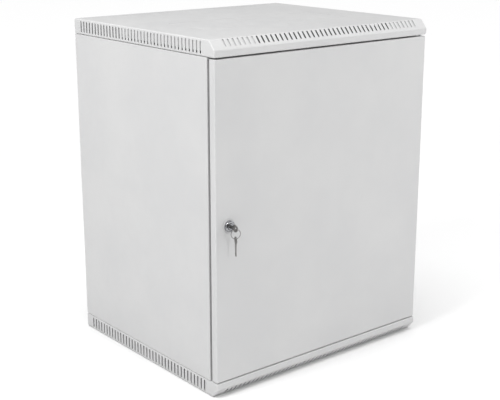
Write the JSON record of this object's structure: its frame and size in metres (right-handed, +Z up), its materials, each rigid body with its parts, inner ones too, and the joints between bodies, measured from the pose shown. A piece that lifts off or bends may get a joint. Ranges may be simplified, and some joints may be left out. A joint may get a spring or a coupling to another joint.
{
  "type": "network rack cabinet",
  "caption": "Wall-mount 19-inch network cabinet with a hinged solid steel door, keyed cam lock, slotted roof and base edges and sliding inner rails.",
  "frame": {"origin": "on the underside of the base, in the middle of the cabinet width and depth", "axes": "+X to the right as seen facing the door, +Y from the door to the back panel, +Z up"},
  "size_m": [0.6, 0.5506, 0.746],
  "materials": {
    "powder_coat": "light grey powder coat, fine texture",
    "zinc": "bright zinc plate",
    "chrome": "polished chrome",
    "key_steel": "nickel plate",
    "rubber": "matt",
    "nylon": "satin"
  },
  "bodies": {
    "cabinet": {"back_panel": "powder_coat", "base": "powder_coat", "base_cable_cover_left": "powder_coat", "base_cable_cover_right": "powder_coat", "base_fan_plate": "powder_coat", "depth_rail_left_lower": "zinc", "depth_rail_left_upper": "zinc", "depth_rail_right_lower": "zinc", "depth_rail_right_upper": "zinc", "depth_rail_screw_left_lower": "zinc", "depth_rail_screw_left_upper": "zinc", "depth_rail_screw_right_lower": "zinc", "depth_rail_screw_right_upper": "zinc", "door_bumper_lower": "rubber", "door_bumper_upper": "rubber", "earth_stud_frame": "zinc", "front_post_left": "powder_coat", "front_post_right": "powder_coat", "post_bolt_left_lower": "zinc", "post_bolt_left_upper": "zinc", "post_bolt_right_lower": "zinc", "post_bolt_right_upper": "zinc", "roof": "powder_coat", "roof_cable_cover_left": "powder_coat", "roof_cable_cover_right": "powder_coat", "roof_fan_plate": "powder_coat", "side_panel_left": "powder_coat", "side_panel_right": "powder_coat", "side_panel_screw_left_lower": "zinc", "side_panel_screw_left_upper": "zinc", "side_panel_screw_right_lower": "zinc", "side_panel_screw_right_upper": "zinc"},
    "left_rail": {"mounting_rail_left": "zinc", "rail_bolt_left_lower": "zinc", "rail_bolt_left_upper": "zinc", "rail_nut_left_lower": "zinc", "rail_nut_left_upper": "zinc"},
    "right_rail": {"mounting_rail_right": "zinc", "rail_bolt_right_lower": "zinc", "rail_bolt_right_upper": "zinc", "rail_nut_right_lower": "zinc", "rail_nut_right_upper": "zinc"},
    "door": {"door_panel": "powder_coat", "door_stiffener": "powder_coat", "hinge_bracket_lower": "zinc", "hinge_bracket_upper": "zinc", "hinge_pin_lower": "zinc", "hinge_washer": "nylon", "hinge_spring": "zinc", "lock_escutcheon": "nylon", "lock_housing": "chrome", "lock_nut": "zinc", "earth_stud_door": "zinc"},
    "hinge_pin": {"hinge_pin_upper": "zinc"},
    "lock_plug": {"lock_cylinder": "chrome", "lock_cam": "zinc", "lock_cam_screw": "zinc"},
    "inserted_key": {"door_key": "key_steel"},
    "ring": {"key_ring": "key_steel"},
    "hanging_key": {"spare_key": "key_steel"}
  },
  "joints": [
    {"name": "door_hinge", "type": "hinge", "parent": "cabinet", "child": "door", "pos_m": [0.2882, -0.251, 0.3725], "axis": [0, 0, 1], "range_deg": [0, 180]},
    {"name": "left_rail_slide", "type": "slide", "parent": "cabinet", "child": "left_rail", "axis": [0, 1, 0], "range_m": [0, 0.34]},
    {"name": "right_rail_slide", "type": "slide", "parent": "cabinet", "child": "right_rail", "axis": [0, 1, 0], "range_m": [0, 0.34]},
    {"name": "hinge_pin_retract", "type": "slide", "parent": "door", "child": "hinge_pin", "axis": [0, 0, -1], "range_m": [0, 0.008], "stiffness_N_per_m": 600, "springref_m": -0.005, "deforming": ["hinge_spring"]},
    {"name": "lock_turn", "type": "hinge", "parent": "door", "child": "lock_plug", "pos_m": [-0.267, -0.25, 0.3725], "axis": [0, 1, 0], "range_deg": [0, 90]},
    {"name": "key_withdraw", "type": "slide", "parent": "lock_plug", "child": "inserted_key", "axis": [0, -1, 0], "range_m": [0, 0.024]},
    {"name": "ring_swing", "type": "hinge", "parent": "inserted_key", "child": "ring", "pos_m": [-0.267, -0.2828, 0.371], "axis": [0.9272, -0.3746, 0], "range_deg": [-60, 12]},
    {"name": "spare_key_run", "type": "hinge", "parent": "ring", "child": "hanging_key", "pos_m": [-0.267, -0.2828, 0.3612], "axis": [0.3746, 0.9272, 0], "range_deg": [-90, 0]}
  ],
  "couplings": [
    {"joint": "spare_key_run", "follows": "lock_turn", "ratio": -1}
  ]
}
